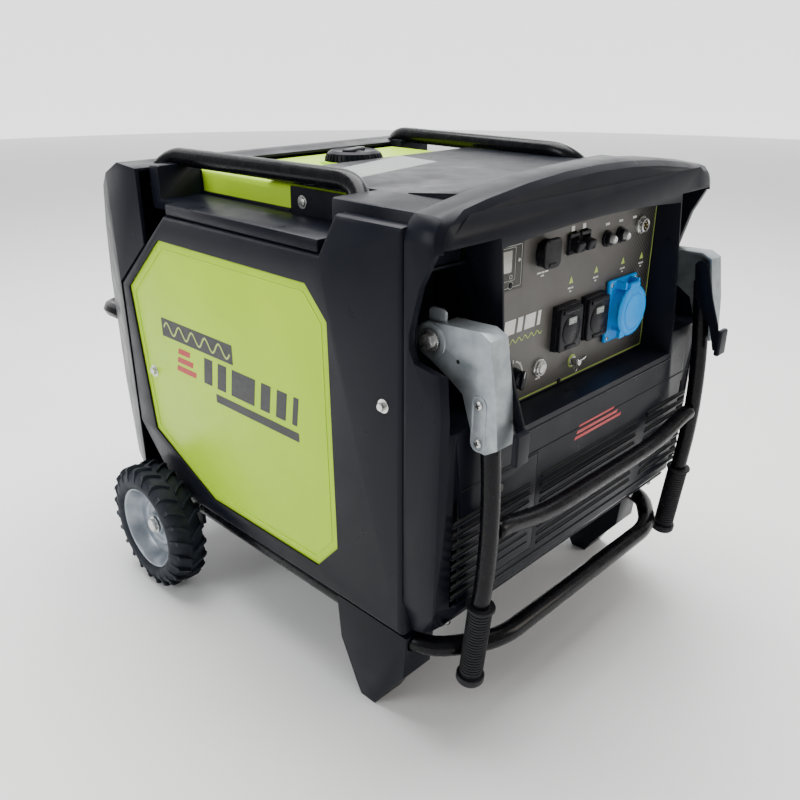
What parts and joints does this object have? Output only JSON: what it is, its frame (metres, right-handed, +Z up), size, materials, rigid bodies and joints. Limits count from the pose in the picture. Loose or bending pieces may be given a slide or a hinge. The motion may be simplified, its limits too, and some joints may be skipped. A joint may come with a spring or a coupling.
{
  "type": "wheeled inverter generator",
  "caption": "Closed-frame petrol inverter generator on wheels, with a recessed control panel, fold-down pull handle, side lift bars and a fuel tank under a round cap.",
  "frame": {"origin": "on the ground, below the middle of the whole object's box", "axes": "+Z up; the control panel faces -Y, the rear cover +Y; +X is to the right as one faces the control panel"},
  "size_m": [0.7, 0.9239, 0.681],
  "materials": {
    "black_plastic": "satin textured moulding",
    "panel_plate": "satin dark warm grey with plain markings",
    "green_panel": "smooth yellow-green",
    "green_tank": "gloss yellow-green",
    "tube_black": "gloss black powder coat",
    "zinc": "satin zinc plate",
    "bolt_steel": "bright zinc-plated steel",
    "grip_rubber": "moulded black rubber",
    "tyre_rubber": "blue-black moulded rubber, chevron tread",
    "rim_silver": "satin silver",
    "outlet_black": "satin black",
    "outlet_blue": "satin blue",
    "display_bezel": "satin dark grey with a grey screen",
    "button_clear": "pale, slightly clear",
    "cast_metal": "as cast",
    "battery_case": "moulded",
    "rotor_steel": "machined"
  },
  "bodies": {
    "casing": {"alternator_stator": "rotor_steel", "axle": "bolt_steel", "base_frame_tube": "tube_black", "base_tray": "black_plastic", "control_panel": "panel_plate", "dc_outlet": "outlet_black", "display_module": "display_bezel", "engine_block": "cast_metal", "front_cover": "black_plastic", "fuel_tank": "green_tank", "industrial_outlet": "outlet_blue", "inverter_module": "cast_metal", "left_foot": "black_plastic", "left_household_outlet": "outlet_black", "left_lift_bar": "tube_black", "left_pivot_bolt": "bolt_steel", "left_side_frame": "black_plastic", "left_side_panel": "green_panel", "muffler": "cast_metal", "rear_bumper": "tube_black", "rear_cover": "black_plastic", "right_foot": "black_plastic", "right_household_outlet": "outlet_black", "right_lift_bar": "tube_black", "right_pivot_bolt": "bolt_steel", "right_side_frame": "black_plastic", "right_side_panel": "green_panel", "service_cover": "black_plastic", "starter_battery": "battery_case", "top_cover": "black_plastic"},
    "handle": {"left_handle_bracket": "zinc", "right_handle_bracket": "zinc", "left_handle_arm": "tube_black", "right_handle_arm": "tube_black", "left_grip": "grip_rubber", "right_grip": "grip_rubber", "handle_crossbar": "tube_black"},
    "left_lever": {"left_lock_lever": "grip_rubber"},
    "right_lever": {"right_lock_lever": "grip_rubber"},
    "left_wheel": {"left_tyre": "tyre_rubber", "left_rim": "rim_silver"},
    "right_wheel": {"right_tyre": "tyre_rubber", "right_rim": "rim_silver"},
    "tank_cap": {"fuel_cap": "black_plastic"},
    "left_outlet_lid": {"left_household_lid": "outlet_black"},
    "right_outlet_lid": {"right_household_lid": "outlet_black"},
    "blue_outlet_lid": {"industrial_lid": "outlet_blue"},
    "dc_flap": {"dc_outlet_cover": "grip_rubber"},
    "main_toggle": {"main_breaker_toggle": "outlet_black"},
    "outlet_toggle": {"outlet_breaker_toggle": "outlet_black"},
    "left_reset": {"left_reset_button": "button_clear"},
    "right_reset": {"right_reset_button": "button_clear"},
    "button_1": {"display_button_1": "button_clear"},
    "button_2": {"display_button_2": "button_clear"},
    "button_3": {"display_button_3": "button_clear"},
    "start": {"start_button": "bolt_steel"},
    "selector": {"selector_knob": "outlet_black"},
    "wing_nut": {"ground_wing_nut": "bolt_steel"},
    "latch": {"service_latch": "outlet_black"},
    "rotor": {"flywheel_fan_rotor": "rotor_steel"}
  },
  "joints": [
    {"name": "handle_fold", "type": "hinge", "parent": "casing", "child": "handle", "pos_m": [0, -0.351, 0.521], "axis": [-1, 0, 0], "range_deg": [0, 74]},
    {"name": "left_lever_squeeze", "type": "hinge", "parent": "handle", "child": "left_lever", "pos_m": [-0.2231, -0.419, 0.525], "axis": [1, 0, 0], "range_deg": [0, 5], "stiffness_Nm_per_rad": 0.6},
    {"name": "right_lever_squeeze", "type": "hinge", "parent": "handle", "child": "right_lever", "pos_m": [0.2231, -0.419, 0.525], "axis": [1, 0, 0], "range_deg": [0, 5], "stiffness_Nm_per_rad": 0.6},
    {"name": "left_wheel_roll", "type": "hinge", "parent": "casing", "child": "left_wheel", "pos_m": [-0.32175, 0.17, 0.1015], "axis": [1, 0, 0], "continuous": true},
    {"name": "right_wheel_roll", "type": "hinge", "parent": "casing", "child": "right_wheel", "pos_m": [0.32175, 0.17, 0.1015], "axis": [1, 0, 0], "continuous": true},
    {"name": "tank_cap_turn", "type": "hinge", "parent": "casing", "child": "tank_cap", "pos_m": [0, 0.04, 0.645], "axis": [0, 0, 1], "range_deg": [0, 270]},
    {"name": "left_outlet_lid_open", "type": "hinge", "parent": "casing", "child": "left_outlet_lid", "pos_m": [-0.019, -0.3715, 0.5135], "axis": [-1, 0, 0], "range_deg": [0, 100], "stiffness_Nm_per_rad": 0.02, "springref_deg": -20.05},
    {"name": "right_outlet_lid_open", "type": "hinge", "parent": "casing", "child": "right_outlet_lid", "pos_m": [0.043, -0.3715, 0.5135], "axis": [-1, 0, 0], "range_deg": [0, 100], "stiffness_Nm_per_rad": 0.02, "springref_deg": -20.05},
    {"name": "blue_outlet_lid_open", "type": "hinge", "parent": "casing", "child": "blue_outlet_lid", "pos_m": [0.11, -0.3793, 0.5175], "axis": [-1, 0, 0], "range_deg": [0, 105], "stiffness_Nm_per_rad": 0.04, "springref_deg": -20.05},
    {"name": "dc_flap_open", "type": "hinge", "parent": "casing", "child": "dc_flap", "pos_m": [-0.071, -0.372, 0.6035], "axis": [-1, 0, 0], "range_deg": [0, 90], "stiffness_Nm_per_rad": 0.01, "springref_deg": -11.46},
    {"name": "main_toggle_throw", "type": "hinge", "parent": "casing", "child": "main_toggle", "pos_m": [-0.014, -0.356, 0.587], "axis": [-1, 0, 0], "range_deg": [0, 24]},
    {"name": "outlet_toggle_throw", "type": "hinge", "parent": "casing", "child": "outlet_toggle", "pos_m": [0.01, -0.356, 0.587], "axis": [-1, 0, 0], "range_deg": [0, 24]},
    {"name": "left_reset_push", "type": "slide", "parent": "casing", "child": "left_reset", "axis": [0, 1, 0], "range_m": [0, 0.004], "stiffness_N_per_m": 150},
    {"name": "right_reset_push", "type": "slide", "parent": "casing", "child": "right_reset", "axis": [0, 1, 0], "range_m": [0, 0.004], "stiffness_N_per_m": 150},
    {"name": "button_1_push", "type": "slide", "parent": "casing", "child": "button_1", "axis": [0, 1, 0], "range_m": [0, 0.0015], "stiffness_N_per_m": 150},
    {"name": "button_2_push", "type": "slide", "parent": "casing", "child": "button_2", "axis": [0, 1, 0], "range_m": [0, 0.0015], "stiffness_N_per_m": 150},
    {"name": "button_3_push", "type": "slide", "parent": "casing", "child": "button_3", "axis": [0, 1, 0], "range_m": [0, 0.0015], "stiffness_N_per_m": 150},
    {"name": "start_push", "type": "slide", "parent": "casing", "child": "start", "axis": [0, 1, 0], "range_m": [0, 0.004], "stiffness_N_per_m": 150},
    {"name": "selector_turn", "type": "hinge", "parent": "casing", "child": "selector", "pos_m": [-0.118, -0.36, 0.444], "axis": [0, -1, 0], "range_deg": [0, 90]},
    {"name": "wing_nut_turn", "type": "hinge", "parent": "casing", "child": "wing_nut", "pos_m": [0.008, -0.36, 0.431], "axis": [0, -1, 0], "continuous": true},
    {"name": "latch_turn", "type": "hinge", "parent": "casing", "child": "latch", "pos_m": [-0.19, -0.405, 0.34], "axis": [0, -1, 0], "range_deg": [0, 90]},
    {"name": "rotor_spin", "type": "hinge", "parent": "casing", "child": "rotor", "pos_m": [0, 0.039, 0.2767], "axis": [0, 1, 0], "continuous": true}
  ]
}
